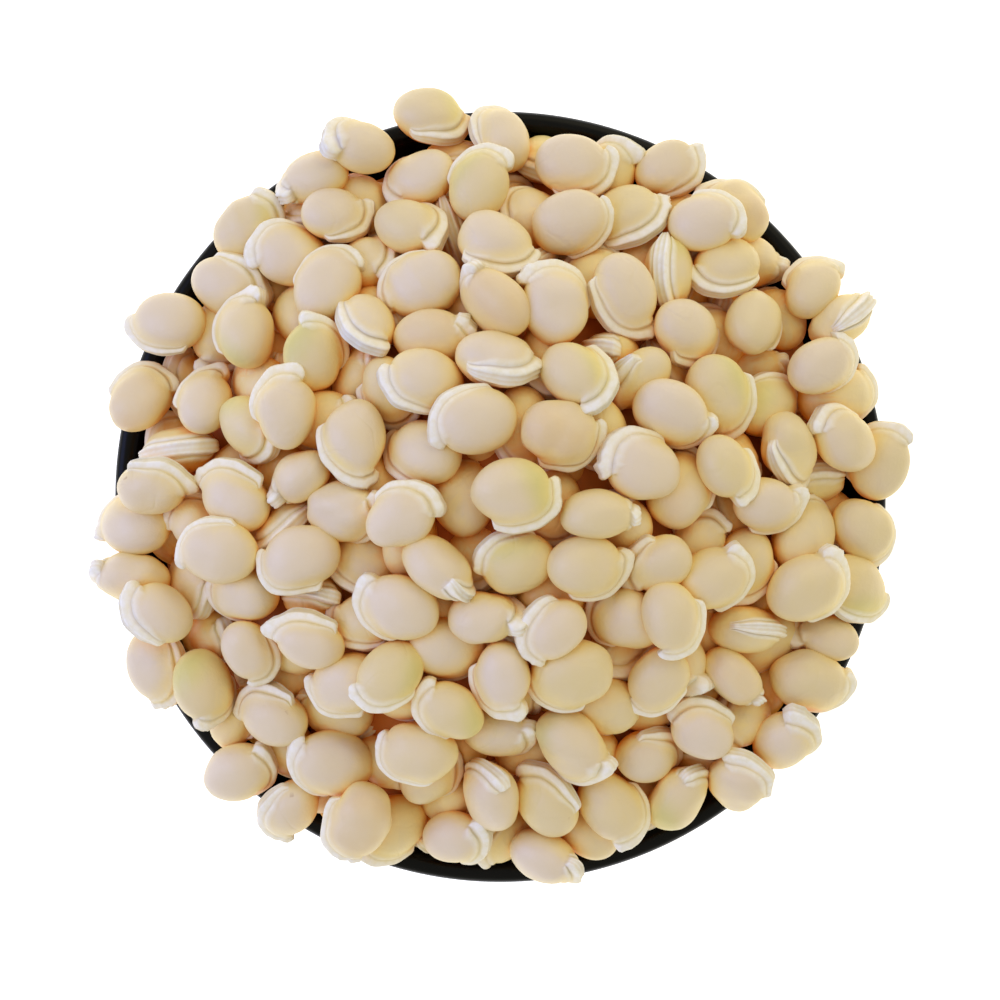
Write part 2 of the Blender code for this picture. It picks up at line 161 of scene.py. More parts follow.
TUCKED_ON_CROWN = (
    (-11.5, 7, 160, 0), (-6, 0.5, 95, 10), (-27, 11.5, 0, 190), (6, 45.5, 170, 175),
    (-32.5, 30, 115, 0), (34.5, 26.5, 150, 180), (43, 15, 15, 5), (27.5, 1.5, 60, 180),
    (15, -33, 170, 0), (-0.5, -37.5, -8, 215), (-9.5, -45, 45, 175), (-27, -35.5, 180, 0),
    (-15.5, -31.5, 190, -20), (-39.5, 18.5, 150, 0), (-24, -2.5, 10, 200), (-9.5, 25, 0, 200),
    (1.5, -9.5, 190, 180), (-13.5, 42.5, -30, 0),
)
LAID_AT_RIM = (
    (-55, -18.5, 142, 75), (-54.5, -7, 190, 0), (-44, -7.5, 170, 190), (-48, 15.5, 100, 0),
    (-54.5, 1.5, 10, 50), (-51.5, 8, 5, 115), (-49, 27, 95, 40), (-39.5, 45.5, -10, 210),
    (-23, 56, 180, 180), (-11, 61.5, -5, 180), (-13.5, 53, 185, 180), (-3.5, 50.5, 80, 0),
    (3.5, 56.5, 205, 180), (12, 52.5, 0, 205), (28, 53.5, 20, 180), (33.5, 45, -5, 0),
    (55.5, 29, 35, 75), (52.5, 21, 40, 180), (53.5, 9.5, 150, 200), (55.5, 2, -3, -80),
    (50, -6, 40, 180), (48.5, -15, 20, 180), (50.5, -31, 0, 210), (41.5, -41, -75, 0),
    (29.5, -48.5, 65, 215), (1.5, -55.5, 75, 75), (-7, -55.5, 10, 180), (-18, -55.5, 200, 0),
    (-23.5, -51.5, 250, 180), (-35.5, -43.5, -60, 180), (-43, -39.5, 20, 200),
    (-49, -29.5, -70, -60),
)
LAID_ON_CROWN = (
    (2.5, 0, -10, 180), (-4, 11.5, 200, 175), (-11.5, 16.5, 170, 0), (0, 19.5, 0, 170),
    (12, 18.5, -50, 5), (9, 9, -10, 180), (-14.5, -2.5, 30, 10), (-9, -10, -45, -80),
    (14.5, -2.5, 8, -80), (13, -11, 0, 180), (-14, -16, 165, 0), (-22.5, 8, 265, 180),
    (-1.5, 29, 125, -55), (8, 29, 105, 200), (17, 30, -60, 175), (-12.5, 33.5, 200, 180),
    (-0.5, 38.5, -25, 160), (11.5, 43, 20, 200), (20.5, 5, 170, 180), (26, 11.5, -15, 205),
    (28, 25.5, -5, 180), (26, 34.5, -95, 145), (35.5, 36.5, 205, 20), (41, 30.5, 60, 180),
    (33.5, 15, -75, 0), (45.5, 7, -60, 180), (41.5, -2, -5, 180), (33, -13, 30, 180),
    (28, -18.5, -80, 0), (39.5, -21, -10, 75), (38.5, -28, -50, -75), (32, -36.5, 150, 180),
    (10.5, -27.5, 190, 0), (0.5, -28.5, 265, 180), (-8, -23, -15, 175), (-13, -40, 190, 0),
    (11, -39.5, -45, 210), (-2, -47, 90, -70), (7, -48, 130, 180), (-24, -29.5, 190, 0),
    (-27.5, -43, 160, 0), (-36.5, -34.5, 170, 180), (-31, -10, 195, 0), (-41, -16, 180, -20),
    (-41.5, 0.5, 150, 180), (-39.5, 9, -40, 180), (-34, 13, 90, 0), (-28.5, 21.5, 75, 220),
    (-27.5, 33.5, 75, 0), (-34, 39, 170, 180), (-41, 26, 100, 0), (-43, 34, -20, 0),
)

# Beans with a greenish end, and ripe orange ones, by x and y in mm
GREENISH_AT = (
    (43, 15), (-27, -35.5), (1.5, -9.5), (-49, -29.5), (-39.5, 45.5), (26, 34.5), (-41, 26),
    (43, -11), (-6, -62), (2.5, 0),
)
ORANGE_AT = ((38.5, -28), (-23.5, -51.5), (46, 40), (-60, 17))
SAME_PLACE = 3.5 * MM

# One bean in detail, in mm and degrees. Angles run round the edge from the crested end.
# The visible bean is a little fuller than the ellipsoid it was seated as.
FULLNESS = np.array([1.02, 1.06, 1.04])
ROUNDNESS = 2.2
EDGE_POWER = 0.96
# Shallow lumps: how many waves cross, their size, how close they are and how much they slant
LUMPS = 4
LUMP_SIZE = 0.065
LUMP_PITCH = 1.7
LUMP_SLANT = 0.33
# The crest's section, from its side to its middle: a low step, a groove, then the ridge with two
# furrows. Places are shares of its half width, heights shares of its height.
CREST_PLACES = np.array([1.98, 1.74, 1.36, 1.17, 1.03, 0.84, 0.58, 0.34, 0])
CREST_LIFTS = np.array([0, 0.24, 0.32, 0.10, 0.52, 0.9, 1.0, 0.72, 0.93])
CREST_PALES = np.array([0, 0.5, 0.75, 0.10, 0.9, 1, 1, 0.55, 1])
FURROW_FROM = 0.7
CREST_HEIGHT = 1.4
CREST_HALF = 1.15
# Where it starts, as a thin beak, and ends, blunt, and how far it shifts or spreads on a bean that
# lies on edge or on its crest
CREST_START = 112
CREST_END = -30
SHIFT_ON_EDGE = 30
SPREAD_ON_EDGE = 10
SHIFT_ON_BACK = -20
# Its blunt end is round, hangs over and often bends to one face; its far end thins to a beak.
# Shares are of the crest's length, from the end they belong to.
BLUNT_ROUND = 0.1
BLUNT_SHARE = 0.12
BLUNT_WIDTH = 0.72
BEND_SHARE = 0.16
BEAK_ROUND = 0.09
BEAK_SHARE = 0.32
BEAK_WIDTH = 0.4
FURROWS_FADE = 0.2
# How far from its blunt end it starts to get lower, over how much of it, and how much of a flare
# at that end goes into its width
FADE_FROM = 0.3
FADE_OVER = 0.65
FLARE_WIDENS = 0.35
# Waves along it: size as a share of its height, or in mm to the side, and how many go round
LONG_WAVE = (0.05, 5)
SHORT_WAVE = (0.04, 11)
SIDE_WAVE = (0.12, 3)
TEAR_WAVES = 24
# How one bean differs from the next: mean, spread, and the least and the most where there are any
HEIGHT_PLAY = (1, 0.16, 0.65, 1.35)
HALF_PLAY = (1, 0.1, 0.8, 1.25)
START_PLAY = (0, 6)
END_PLAY = (0, 8)
FADE_PLAY = (0.3, 0.14, 0.05, 0.65)
HANG_PLAY = (0.25, 0.3, -0.3, 0.8)
EGG_PLAY = (0.03, 0.035)
FLARE_PLAY = (0.3, 0.2, 0, 0.75)
BEND_PLAY = (0, 0.4)
TEAR_PLAY = (0.05, 0.07, 0, 0.2)
LUMP_PLAY = (1, 0.5, 0.2, 2.2)
# The brown dot: how far past the crest's beak in radians, how far out as a share of the edge's
# distance, how far to one face, and over what range the material reads the distance to it
DOT_PAST_CREST = 0.06
DOT_OUT = 0.9
DOT_ASIDE = 1.5
DOT_RANGE = 10
# The green of one end: how far from the middle it starts, and over what distance it grows
GREEN_FROM = 0.4
GREEN_OVER = 4.6
# The bean is moved back by this share of half its crest's height, so that it stays over its place
MOVED_BACK = 0.9
# How far apart the places may be at which two beans read the patterns
PATTERN_RANGE = 400
LOOKS_SEED = 5

# How finely a bean is made: segments along its crest, along the rest of its edge, rings on a face,
# which a power below 1 moves towards the middle of the face
FINE = (28, 26, 5)
PLAIN = (12, 12, 3)
RING_POWER = 0.9

# Painted shade between the beans: how far round a point the heap is looked at, in how many
# directions, and how much that and a downward face count
SHADE_REACHES = np.array([1.4, 2.8, 4.6]) * MM
SHADE_WAYS = 10
SHADE_OF_HEAP = 0.75
SHADE_OF_UNDERSIDE = 0.46

# Kinds of bean: a bean that draws a lot below the first number is greenish, below the second
# orange. The others are sorted by how far they lie to one side of the dish, with some stray.
# Painted light: their coats vary at random, but the paler coat towards the window on the left and the
# yellower one away from it stand in for the light
GREENISH_LOT = 0.05
ORANGE_LOT = 0.12
SIDE_STRAY = 0.6
SIDE_SHARE = 0.28

# Camera: straight over the dish, where the photograph's was
CAMERA_RISE = 188 * MM
CAMERA_ASIDE = (-0.08 * MM, -0.54 * MM)
FOCAL_PIXELS = 1123
FRAME_PIXELS = 1000
SENSOR = 36

# Light: a bluish window on the left, a warm fill on the upper right and a pale sky, over a floor
# that glows a little
WINDOW_PLACE = (-0.38, 0.02, 0.36)
WINDOW_SIDE = 0.36
WINDOW_POWER = 1.15
WINDOW_COLOUR = (0.28, 0.38, 1.0)
WARM_PLACE = (0.26, 0.48, 0.44)
WARM_SIDE = 0.5
WARM_POWER = 0.9
WARM_COLOUR = (1.0, 0.88, 0.56)
SKY_COLOUR = (0.96, 0.935, 0.78, 1)
SKY_STRENGTH = 0.70
FLOOR_SIDE = 40
FLOOR_GLOW = 0.8


# Heights of the dish and the heap

def dome(radius):
    """Mean height of the heap's top at a radius."""
    share = np.clip(radius / (RIM_RADIUS - LIP_WIDTH / 2), 0, DOME_END)
    return RIM_HEIGHT + EDGE_RISE + (DOME_RISE - EDGE_RISE) * (1 - share ** FLANK_POWER)


def flank_slope(radius):
    """Angle of the dome from level at a radius."""
    step = 0.5 * MM
    return np.arctan((dome(radius - step) - dome(radius + step)) / (2 * step))


def inside_height(radius):
    """Height of the dish's inside: a flat floor, then a quarter of an ellipse up to the lip."""
    share = np.clip((radius - FOOT_RADIUS) / (INNER_RADIUS - FOOT_RADIUS), 0, 1)
    return FLOOR_HEIGHT + (SPRING_HEIGHT - FLOOR_HEIGHT) * (1 - np.sqrt(1 - share ** 2))


def lip_height(radius):
    """Height of the round lip."""
    out = (radius - (RIM_RADIUS - LIP_WIDTH / 2)) / (LIP_WIDTH / 2)
    return SPRING_HEIGHT + LIP_WIDTH / 2 * np.sqrt(np.clip(1 - out ** 2, 0, 1))


def fill_reach(x, y):
    """How far out a filling bean may sit: less where the lip stays bare."""
    bearing = np.degrees(np.arctan2(y, x))
    reach = np.full(np.shape(bearing), FILL_REACH)
    for middle, half in BARE_ARCS:
        off = np.abs((bearing - middle + 180) % 360 - 180)
        reach = np.where(off < half, BARE_REACH, reach)
    return reach


def resting_floor():
    """What a bean may rest on: the dish, kept clear by a small gap upwards and sideways."""
    floor = np.full(FIELD_RADIUS.shape, -1.0)
    for aside in (-SIDE_GAP, 0, SIDE_GAP):
        radius = FIELD_RADIUS + aside
        height = np.where(radius < INNER_RADIUS, inside_height(radius), lip_height(radius))
        floor = np.maximum(floor, np.where(radius > RIM_RADIUS, -1.0, height))
    return floor + DISH_GAP


# Seating the beans, as the solid heap has them

def spin_matrices(x, y, turn, roll, pitch):
    """Rotations of beans: roll about X, pitch about Y, turn about Z, then a lean with the flank."""
    one, nil = np.ones_like(turn), np.zeros_like(turn)

    def about_z(angle):
        c, s = np.cos(angle), np.sin(angle)
        return np.moveaxis(np.array([[c, -s, nil], [s, c, nil], [nil, nil, one]]), -1, 0)

    def about_y(angle):
        c, s = np.cos(angle), np.sin(angle)
        return np.moveaxis(np.array([[c, nil, -s], [nil, one, nil], [s, nil, c]]), -1, 0)

    def about_x(angle):
        c, s = np.cos(angle), np.sin(angle)
        return np.moveaxis(np.array([[one, nil, nil], [nil, c, -s], [nil, s, c]]), -1, 0)

    outward = np.arctan2(y, x)
    lean = -FLANK_LEAN * flank_slope(np.hypot(x, y))
    leaned = about_z(outward) @ about_y(lean) @ about_z(-outward)
    return leaned @ about_z(turn) @ about_y(pitch) @ about_x(roll)


def cell_of(place, margin=0):
    """Which line of the height field is nearest to a place, kept a margin inside the field."""
    return np.clip(np.round((place + FIELD_HALF) / CELL).astype(int), margin, len(LINE) - 1 - margin)


def footprint(x, y, spin, size):
    """Cells under each bean, and how far its underside and top are from its middle there."""
    form = np.einsum("nij,nj,nkj->nik", spin, 4 / size ** 2, spin)
    steps = np.arange(-BEAN_CELLS, BEAN_CELLS + 1)
    col, row = cell_of(x, BEAN_CELLS), cell_of(y, BEAN_CELLS)
    rows = np.broadcast_to(row[:, None, None] + steps[None, :, None], (len(x), len(steps), len(steps)))
    cols = np.broadcast_to(col[:, None, None] + steps[None, None, :], rows.shape)
    u = LINE[cols] - x[:, None, None]
    v = LINE[rows] - y[:, None, None]
    xx, xy, xz, yy, yz, zz = (form[:, i, j][:, None, None]
                              for i, j in ((0, 0), (0, 1), (0, 2), (1, 1), (1, 2), (2, 2)))
    half = xz * u + yz * v
    square = half * half - zz * (xx * u * u + 2 * xy * u * v + yy * v * v - 1)
    root = np.sqrt(np.maximum(square, 0))
    return rows, cols, square > 0, (-half - root) / zz, (-half + root) / zz


def smooth(field, reach):
    """Mean of a field over a small disc."""
    total = np.zeros_like(field)
    count = 0
    for down in range(-reach, reach + 1):
        for across in range(-reach, reach + 1):
            if down * down + across * across <= reach * reach:
                total += np.roll(field, (down, across), (0, 1))
                count += 1
    return total / count


class Heap:
    """Beans seated one by one, each as near the dome as those already there allow."""

    def __init__(self):
        self.draw = np.random.default_rng(SEED)
        self.floor = resting_floor()
        self.roof = np.full(FIELD_RADIUS.shape, 1.0)
        self.crown = np.full(FIELD_RADIUS.shape, -1.0)
        self.seen = np.where(FIELD_RADIUS < INNER_RADIUS, dome(FIELD_RADIUS) - BURIED, RIM_HEIGHT)
        self.owner = np.full(FIELD_RADIUS.shape, -1)
        self.beans = []

    def seat(self, x, y, turn, roll, pitch, size, rise, shifts, bite, home=None):
        """Try many poses of one bean and keep the best that meets no other by more than a bite.

        Near a home the best is the one that moves least; otherwise it is the one that fills most.
        """
        spin = spin_matrices(x, y, turn, roll, pitch)
        sizes = np.tile(size, (len(x), 1))
        rows, cols, inside, low, top = footprint(x, y, spin, sizes)
        half_height = np.sqrt((spin[:, 2, :] ** 2 * sizes ** 2).sum(1)) / 2
        rest = np.where(inside, self.floor[rows, cols] - low, -1).max(axis=(1, 2))
        goal = np.maximum(dome(np.hypot(x, y)) + rise - half_height, rest)
        over = np.where(inside, self.roof[rows, cols] - top, 1)
        under = np.where(inside, self.crown[rows, cols] - low, -1)
        height = np.full(len(x), np.nan)
        for shift in sorted(shifts, key=abs):
            middle = goal + shift
            z = middle[:, None, None]
            meets = np.minimum(z - over, under - z).max(axis=(1, 2))
            fits = np.isnan(height) & (meets < bite) & (middle >= rest)
            height = np.where(fits, middle, height)
        seated = ~np.isnan(height)
        if not seated.any():
            return None
        height = np.where(seated, height, 0)
        added = np.where(inside, height[:, None, None] + top - self.seen[rows, cols], 0)
        gain = np.maximum(added, 0).sum(axis=(1, 2)) * CELL ** 2
        score = -gain
        if home is not None:
            score = np.abs(height - goal) + STRAY_WEIGHT * np.hypot(x - home[0], y - home[1])
        best = int(np.argmin(np.where(seated, score, np.inf)))
        place = (rows[best], cols[best], inside[best], low[best], top[best])
        return (x[best], y[best], height[best], spin[best], size), place, gain[best]

    def add(self, bean, place):
        """Keep a bean and raise the fields under it."""
        rows, cols, inside, low, top = place
        at = rows[inside], cols[inside]
        height = bean[2] + top[inside]
        self.owner[at] = np.where(height > self.crown[at], len(self.beans), self.owner[at])
        self.roof[at] = np.minimum(self.roof[at], bean[2] + low[inside])
        self.crown[at] = np.maximum(self.crown[at], height)
        self.seen[at] = np.maximum(self.seen[at], self.crown[at])
        self.beans.append(bean)

    def lay(self, rows, rise, shifts):
        """Beans at listed places, each with a little play."""
        for x, y, turn, roll in rows:
            size = BEAN * np.clip(self.draw.normal(1, SIZE_PLAY), *SIZE_LIMITS)
            play_x, play_y = self.draw.normal(0, PLAY, (2, TRIES))
            turns = np.radians(turn + self.draw.normal(0, TURN_PLAY, TRIES))
            rolls = np.radians(roll + self.draw.normal(0, ROLL_PLAY, TRIES))
            pitches = np.radians(self.draw.normal(0, PITCH_PLAY, TRIES))
            top = rise + self.draw.normal(0, RISE_PLAY)
            found = self.seat(x * MM + play_x, y * MM + play_y, turns, rolls, pitches, size,
                              top, shifts, BITE, home=(x * MM, y * MM))
            if found:
                self.add(found[0], found[1])

    def fill(self, depth=FILL_DEPTH, bite=FILL_BITE, least_gain=LEAST_GAIN, rise=0.0):
        """Beans go where the heap is furthest below the dome, until no hollow takes another."""
        shut = FIELD_RADIUS > fill_reach(FIELD_X, FIELD_Y) + FILL_MARGIN
        while True:
            lack = smooth(np.where(FIELD_RADIUS < RIM_RADIUS, dome(FIELD_RADIUS) - self.seen, 0),
                          SMOOTHED_CELLS)
            spot = int(np.argmax(np.where(shut, -1, lack)))
            if shut.flat[spot] or lack.flat[spot] < depth:
                break
            home = FIELD_X.flat[spot], FIELD_Y.flat[spot]
            size = BEAN * FILL_SIZE * np.clip(self.draw.normal(1, FILL_SIZE_PLAY), *FILL_SIZE_LIMITS)
            size = size * np.clip(self.draw.normal(1, FORM_PLAY, 3), *FORM_LIMITS)
            x, y = np.array(home)[:, None] + self.draw.normal(0, FILL_STRAY, (2, FILL_TRIES))
            inward = np.minimum(1, fill_reach(x, y) / np.hypot(x, y))
            turns = self.draw.uniform(0, 2 * np.pi, FILL_TRIES)
            rolls = np.pi * self.draw.integers(0, 2, FILL_TRIES)
            rolls = rolls + np.radians(self.draw.normal(0, 2 * ROLL_PLAY, FILL_TRIES))
            if self.draw.random() < ON_EDGE_SHARE:
                rolls = rolls + np.radians(ON_EDGE_ROLL)
            pitches = np.radians(self.draw.normal(0, 2 * PITCH_PLAY, FILL_TRIES))
            found = self.seat(x * inward, y * inward, turns, rolls, pitches, size,
                              rise + self.draw.normal(0, FILL_RISE_PLAY), FILL_SHIFTS, bite)
            if found and found[2] > least_gain:
                self.add(found[0], found[1])
            else:
                shut |= np.hypot(FIELD_X - home[0], FIELD_Y - home[1]) < SHUT_RADIUS

    def shown(self):
        """The beans that show from above by more than a speck."""
        cells = np.bincount(self.owner[self.owner >= 0], minlength=len(self.beans))
        return [bean for bean, count in zip(self.beans, cells) if count * CELL ** 2 > LEAST_SHOWN]

    def fill_below(self):
        """Beans of the layer below, on a shaken grid, which the solid heap's core stands for."""
        first = len(self.beans)
        line = np.arange(-BELOW_REACH, BELOW_REACH, BELOW_STEP)
        for x, y in ((x, y) for x in line for y in line if np.hypot(x, y) < BELOW_REACH):
            size = BEAN * FILL_SIZE * np.clip(self.draw.normal(1, FILL_SIZE_PLAY), *FILL_SIZE_LIMITS)
            play_x, play_y = self.draw.normal(0, FILL_STRAY, (2, BELOW_TRIES))
            turns = self.draw.uniform(0, 2 * np.pi, BELOW_TRIES)
            rolls = self.draw.uniform(0, 2 * np.pi, BELOW_TRIES)
            pitches = np.radians(self.draw.normal(0, 2 * PITCH_PLAY, BELOW_TRIES))
            found = self.seat(x + play_x, y + play_y, turns, rolls, pitches, size,
                              BELOW_RISE, BELOW_SHIFTS, BELOW_BITE, home=(x, y))
            if found:
                self.add(found[0], found[1])
        return self.beans[first:]


def heaped_beans():
    """The heap, every bean that shows and those of the layer below: middle, rotation and size."""
    heap = Heap()
    heap.lay(TUCKED_AT_RIM, TUCKED_RISE, SHIFTS)
    heap.lay(LAID_ON_CROWN, LAID_RISE, SHIFTS)
    heap.lay(LAID_AT_RIM, LAID_RISE, LIFTS)
    heap.lay(TUCKED_ON_CROWN, TUCKED_RISE, SHIFTS)
    heap.fill()
    heap.fill(LAST_DEPTH, LAST_BITE, LAST_GAIN, LAST_RISE)
    shown = heap.shown()
    return heap, shown, heap.fill_below()


# One bean's surface

def eased(value):
    """Smooth step from 0 to 1."""
    value = np.clip(value, 0, 1)
    return value * value * (3 - 2 * value)


def varied(draw, mean, spread, least=-math.inf, most=math.inf):
    """A random number round a mean, kept between a least and a most."""
    return np.clip(draw.normal(mean, spread), least, most)


class BeanShape:
    """What makes one bean different from the next, in mm and radians.

    On a bean that lies on edge the crest is centred on the side that faces up, and on one that
    lies on its crest the end comes out from under it.
    """

    def __init__(self, size, spin, draw):
        self.length, self.width, self.thick = size * FULLNESS / MM
        self.crest_height = CREST_HEIGHT * varied(draw, *HEIGHT_PLAY)
        self.crest_half = CREST_HALF * varied(draw, *HALF_PLAY)
        upward = spin[2, 1]
        shift = SHIFT_ON_EDGE * max(upward, 0) + SHIFT_ON_BACK * max(-upward, 0)
        spread = SPREAD_ON_EDGE * max(upward, 0)
        self.start = np.radians(CREST_START + shift + spread + varied(draw, *START_PLAY))
        self.end = np.radians(CREST_END + shift - spread + varied(draw, *END_PLAY))
        self.fade = varied(draw, *FADE_PLAY)
        self.hang = varied(draw, *HANG_PLAY)
        self.egg = varied(draw, *EGG_PLAY)
        self.flare = varied(draw, *FLARE_PLAY)
        self.waves = draw.uniform(0, 2 * np.pi, 3)
        self.bend = varied(draw, *BEND_PLAY)
        self.tear = varied(draw, *TEAR_PLAY)
        self.lump_ways = draw.normal(0, LUMP_SLANT, (LUMPS, 3))
        self.lump_phases = draw.uniform(0, 2 * np.pi, LUMPS)
        self.lump_size = LUMP_SIZE * varied(draw, *LUMP_PLAY)
        self.offset = draw.uniform(0, PATTERN_RANGE, 3)
        self.tone = draw.random()
        self.green_way = draw.uniform(0, 2 * np.pi)
        self.dot_side = draw.choice((-1.0, 1.0))


def edge_angles(shape, crest_segments, bare_segments):
    """Angles round the edge: close together at the ends of the crest, wide apart elsewhere."""
    t = np.linspace(0, 1, crest_segments, endpoint=False)
    along = 0.5 * t + 0.5 * (1 - np.cos(np.pi * t)) / 2
    rest = np.linspace(0, 1, bare_segments, endpoint=False)
    crest = shape.end + (shape.start - shape.end) * along
    bare = shape.start + (2 * np.pi + shape.end - shape.start) * rest
    share = np.concatenate([along, np.full(len(rest), -1.0)])
    return np.concatenate([crest, bare]), share


def edge_curve(shape, angle):
    """The body's outline seen on its flat side, and which way is out there."""
    half_length = (shape.length - shape.crest_height) / 2
    half_width = (shape.width - shape.crest_height) / 2

    def at(a):
        across = np.sign(np.sin(a)) * np.abs(np.sin(a)) ** EDGE_POWER
        along = np.sign(np.cos(a)) * np.abs(np.cos(a)) ** EDGE_POWER
        return np.stack([half_length * along, half_width * across * (1 + shape.egg * np.cos(a))], -1)

    step = 0.02
    ahead = at(angle + step) - at(angle - step)
    out = np.stack([ahead[:, 1], -ahead[:, 0]], -1)
    return at(angle), out / np.linalg.norm(out, axis=1, keepdims=True)


def crest_profile(shape, angle, share):
    """Height and half width of the crest round the edge, how far in from its ends that is, how far
    it leans to one face, and how far its blunt end hangs over."""
    def wave(size, count, phase):
        return size * np.sin(count * angle + phase)

    inside = share >= 0
    blunt_rise = np.sqrt(np.sin(np.pi / 2 * np.clip(share / BLUNT_ROUND, 0, 1)))
    rise = blunt_rise * eased((1 - share) / BEAK_ROUND)
    near_end = np.exp(-((share - BLUNT_SHARE) / BLUNT_SHARE) ** 2)
    torn = 1 + wave(1, TEAR_WAVES, shape.waves[2])
    flare = 1 + shape.flare * near_end - shape.tear * near_end * torn
    uneven = 1 + wave(*LONG_WAVE, shape.waves[0]) + wave(*SHORT_WAVE, shape.waves[1])
    fade = 1 - shape.fade * eased((share - FADE_FROM) / FADE_OVER)
    height = np.where(inside, shape.crest_height * rise * flare * uneven * fade, 0)
    blunt = BLUNT_WIDTH + (1 - BLUNT_WIDTH) * eased(share / BLUNT_SHARE)
    beak = BEAK_WIDTH + (1 - BEAK_WIDTH) * eased((1 - share) / BEAK_SHARE)
    bare = np.clip((angle - shape.start) / (2 * np.pi + shape.end - shape.start), 0, 1)
    rest = BEAK_WIDTH + (BLUNT_WIDTH - BEAK_WIDTH) * bare
    half = shape.crest_half * np.where(inside, blunt * beak * (1 + FLARE_WIDENS * (flare - 1)), rest)
    inner = np.where(inside, eased(share / FURROWS_FADE) * eased((1 - share) / FURROWS_FADE), 0)
    sway = wave(*SIDE_WAVE, shape.waves[1]) + shape.bend * np.exp(-(share / BEND_SHARE) ** 2)
    hang = np.where(inside, shape.hang * np.exp(-(share / BLUNT_SHARE) ** 2), 0)
    return height, half, inner, np.where(inside, sway, 0), hang


def bean_points(shape, detail):
    """Points of one bean in mm in its own frame, ring by ring, and the colour marks there."""
    crest_segments, bare_segments, face_rings = detail
    angle, share = edge_angles(shape, crest_segments, bare_segments)
    edge, out = edge_curve(shape, angle)
    height, half, inner, sway, hang = crest_profile(shape, angle, share)
    back = np.stack([out[:, 1], -out[:, 0]], -1)
    half_thick = shape.thick / 2
    rings, marks = [], []
    turn = 2 / ROUNDNESS

    def face(side, phi):
        z = side * half_thick * np.sin(phi) ** turn
        xy = edge * (np.cos(phi) ** turn)[:, None]
        rings.append(np.stack([xy[:, 0], xy[:, 1], z], -1))
        marks.append(np.zeros(len(angle)))

    def crest(side, place, lift, pale):
        z = side * place * half
        shrink = (1 - np.abs(z / half_thick) ** ROUNDNESS) ** (1 / ROUNDNESS)
        furrow = 1 - (1 - lift) * (inner if place < FURROW_FROM else 1)
        xy = edge * shrink[:, None] + out * (height * furrow)[:, None]
        xy = xy + back * (hang * furrow * (height > 0))[:, None]
        rings.append(np.stack([xy[:, 0], xy[:, 1], z + sway * furrow * (height > 0)], -1))
        marks.append(np.where(height > 0, pale, 0))

    begin = np.arcsin((CREST_PLACES[0] * half / half_thick) ** (1 / turn))
    shares = np.arange(1, face_rings + 1) / (face_rings + 1)
    faces = [begin + (np.pi / 2 - begin) * s ** RING_POWER for s in shares]
    section = list(zip(CREST_PLACES, CREST_LIFTS, CREST_PALES))
    for phi in reversed(faces):
        face(-1, phi)
    for place, lift, pale in section:
        crest(-1, place, lift, pale)
    for place, lift, pale in section[-2::-1]:
        crest(1, place, lift, pale)
    for phi in faces:
        face(1, phi)
    points = np.concatenate(rings + [np.array([[0, 0, -half_thick], [0, 0, half_thick]])])
    pale = np.concatenate(marks + [np.zeros(2)])
    lumps = sum(np.sin(points @ way * LUMP_PITCH + phase)
                for way, phase in zip(shape.lump_ways, shape.lump_phases))
    length = np.linalg.norm(points, axis=1, keepdims=True)
    points = points + points / length * (lumps * shape.lump_size)[:, None]
    corner, _ = edge_curve(shape, np.array([shape.start + DOT_PAST_CREST]))
    spot = np.array([corner[0, 0] * DOT_OUT, corner[0, 1] * DOT_OUT, shape.dot_side * DOT_ASIDE])
    dot = np.linalg.norm(points - spot, axis=1)
    side_of = points[:, 0] * math.cos(shape.green_way) + points[:, 1] * math.sin(shape.green_way)
    green = eased((side_of - GREEN_FROM) / GREEN_OVER)
    points = points - np.array([shape.crest_height / 2, shape.crest_height / 2, 0]) * MOVED_BACK
    return points, pale, dot, green


def bean_faces(detail):
    """Quads between the rings and triangles to the poles, and how many points a bean has."""
    segments = detail[0] + detail[1]
    rings = 2 * detail[2] + 2 * len(CREST_PLACES) - 1
    here = np.arange(segments)
    after = (here + 1) % segments
    quads = []
    for k in range(rings - 1):
        low, high = k * segments, (k + 1) * segments
        quads.append(np.stack([low + here, low + after, high + after, high + here], -1))
    south, north = rings * segments, rings * segments + 1
    last = (rings - 1) * segments
    caps = np.concatenate([
        np.stack([after, here, np.full(segments, south)], -1),
        np.stack([last + here, last + after, np.full(segments, north)], -1),
    ])
    return np.concatenate(quads), caps, north + 1


def mesh_from_arrays(name, points, quads, triangles):
    """A mesh from arrays of points, four-sided and three-sided faces."""
    mesh = bpy.data.meshes.new(name)
    corners = np.concatenate([quads.ravel(), triangles.ravel()]).astype(np.int32)
    counts = np.concatenate([np.full(len(quads), 4), np.full(len(triangles), 3)])
    starts = np.concatenate([[0], np.cumsum(counts)[:-1]]).astype(np.int32)
    mesh.vertices.add(len(points))
    mesh.vertices.foreach_set("co", points.astype(np.float32).ravel())
    mesh.loops.add(len(corners))
    mesh.loops.foreach_set("vertex_index", corners)
    mesh.polygons.add(len(counts))
    mesh.polygons.foreach_set("loop_start", starts)
    mesh.update(calc_edges=True)
    mesh.validate()
    mesh.shade_smooth()
    return mesh


def painted_shade_at(points, normals, heap):
    """How much the heap round a point hides the sky from it, from 0 to 1, which the coat takes on as
    painted shade.
    """
    hidden = np.zeros(len(points))
    for way in np.arange(SHADE_WAYS) * 2 * np.pi / SHADE_WAYS:
        slope = np.zeros(len(points))
        for reach in SHADE_REACHES:
            col = cell_of(points[:, 0] + reach * np.cos(way))
            row = cell_of(points[:, 1] + reach * np.sin(way))
            slope = np.maximum(slope, (heap.crown[row, col] - points[:, 2]) / reach)
        hidden += slope / np.hypot(1, slope)
    downward = (1 - normals[:, 2]) / 2
    return np.clip(hidden / SHADE_WAYS * SHADE_OF_HEAP + downward * SHADE_OF_UNDERSIDE, 0, 1)


def add_numbers(mesh, name, kind, key, values):
    """Numbers that the material reads at each point of a mesh."""
    data = mesh.attributes.new(name, kind, "POINT").data
    data.foreach_set(key, values.astype(np.float32).ravel())


